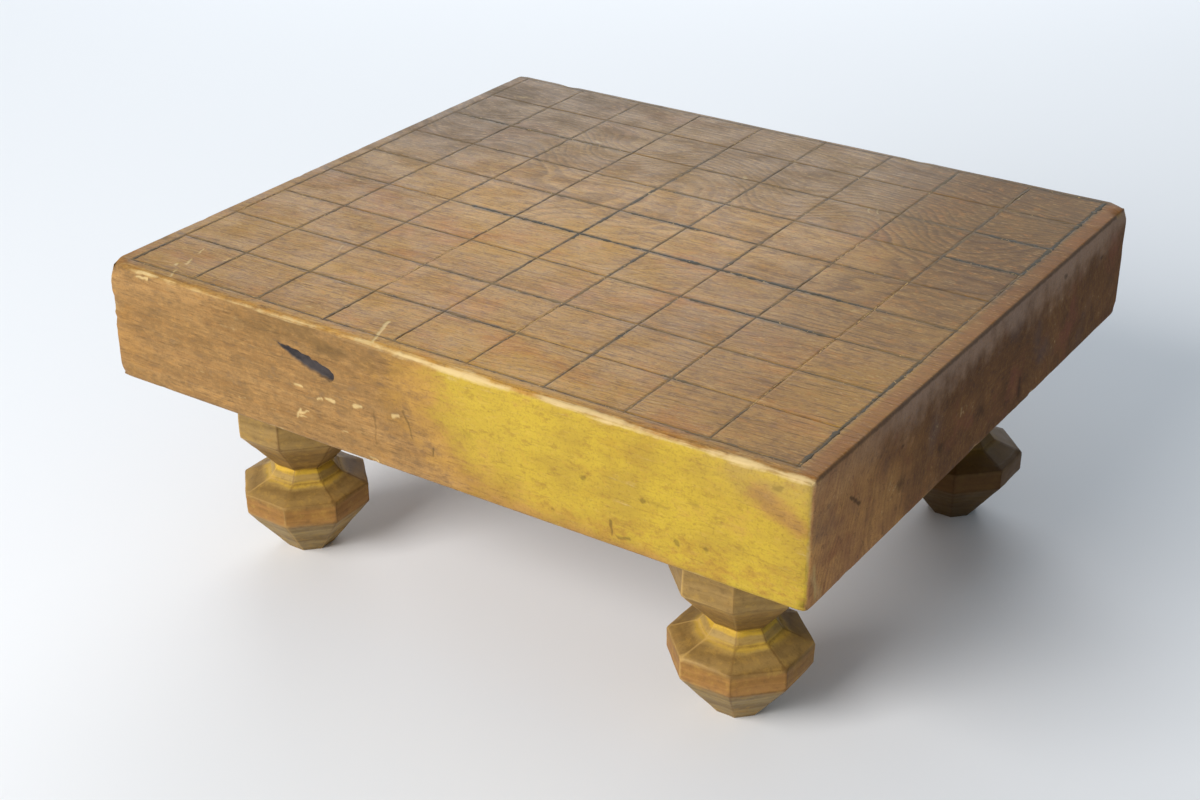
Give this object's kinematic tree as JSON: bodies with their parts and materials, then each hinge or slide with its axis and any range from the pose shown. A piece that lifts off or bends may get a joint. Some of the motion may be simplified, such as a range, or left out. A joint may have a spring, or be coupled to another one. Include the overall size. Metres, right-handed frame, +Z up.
{
  "type": "shogi board",
  "caption": "Low floor-standing shogi board: thick wooden slab with an inked playing grid, on carved octagonal legs that plug into its underside.",
  "frame": {"origin": "on the floor, under the middle of the slab", "axes": "+X along the grain, the slab's longer side; +Z up; -Y is the long side seen at the front"},
  "size_m": [0.366, 0.327, 0.16],
  "materials": {
    "slab_wood": "old waxed wood, brown with a yellow long side, worn edges",
    "leg_wood": "hand-carved, waxed, yellow-brown",
    "ink": "dried black ink or lacquer"
  },
  "bodies": {
    "board": {"slab": "slab_wood", "grid_lines": "ink"},
    "front_left_leg": {"leg_front_left": "leg_wood"},
    "front_right_leg": {"leg_front_right": "leg_wood"},
    "back_left_leg": {"leg_back_left": "leg_wood"},
    "back_right_leg": {"leg_back_right": "leg_wood"}
  },
  "joints": [
    {"name": "front_left_leg_pull", "type": "slide", "parent": "board", "child": "front_left_leg", "axis": [0, 0, -1], "range_m": [0, 0.026]},
    {"name": "front_right_leg_pull", "type": "slide", "parent": "board", "child": "front_right_leg", "axis": [0, 0, -1], "range_m": [0, 0.026]},
    {"name": "back_left_leg_pull", "type": "slide", "parent": "board", "child": "back_left_leg", "axis": [0, 0, -1], "range_m": [0, 0.026]},
    {"name": "back_right_leg_pull", "type": "slide", "parent": "board", "child": "back_right_leg", "axis": [0, 0, -1], "range_m": [0, 0.026]}
  ]
}
